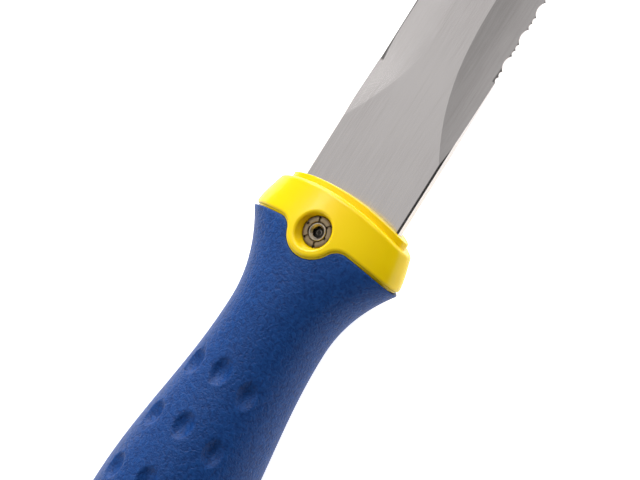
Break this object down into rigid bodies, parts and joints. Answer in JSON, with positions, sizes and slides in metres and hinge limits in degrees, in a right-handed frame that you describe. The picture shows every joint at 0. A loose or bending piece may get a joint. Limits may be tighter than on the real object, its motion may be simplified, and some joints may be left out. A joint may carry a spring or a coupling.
{
  "type": "rigging knife",
  "caption": "Fixed-blade sailing knife with a plain and a scalloped edge, a screw-clamped blade and a flared, dimpled handle.",
  "frame": {"origin": "on the ground under the middle of the knife's box, with the knife lying on its rear face", "axes": "+Y along the knife to the blade's point, +X to the scalloped edge, +Z out of the face that shows the clamp screw"},
  "size_m": [0.0444, 0.248, 0.034],
  "materials": {
    "blade_steel": "satin ground stainless steel",
    "collar_plastic": "glossy moulded yellow plastic",
    "grip_rubber": "fine leather-textured blue elastomer",
    "core_plastic": "moulded yellow plastic",
    "pin_steel": "ground",
    "bush_steel": "turned stainless steel",
    "screw_steel": "passivated stainless steel",
    "insert_brass": "turned",
    "eyelet_steel": "rolled stainless steel"
  },
  "bodies": {
    "knife": {"blade": "blade_steel", "collar": "collar_plastic", "grip_sleeve": "grip_rubber", "core_front": "core_plastic", "core_rear": "core_plastic", "tang_pins": "pin_steel", "front_bush": "bush_steel", "rear_barrel_nut": "bush_steel", "butt_cap": "collar_plastic", "butt_screw": "screw_steel", "butt_washer": "bush_steel", "butt_insert": "insert_brass", "lanyard_eyelet": "eyelet_steel", "eyelet_washer": "eyelet_steel"},
    "screw_washer": {"lock_washer": "screw_steel"},
    "screw": {"clamp_screw": "screw_steel"}
  },
  "joints": [
    {"name": "clamp_screw_travel", "type": "slide", "parent": "knife", "child": "screw_washer", "axis": [0, 0, 1], "range_m": [0, 0.002]},
    {"name": "clamp_screw_turn", "type": "hinge", "parent": "screw_washer", "child": "screw", "pos_m": [0, -0.005, 0.017], "axis": [0, 0, 1], "range_deg": [0, 1442]}
  ],
  "couplings": [
    {"joint": "clamp_screw_turn", "follows": "clamp_screw_travel", "rad_per_m": 12566}
  ]
}
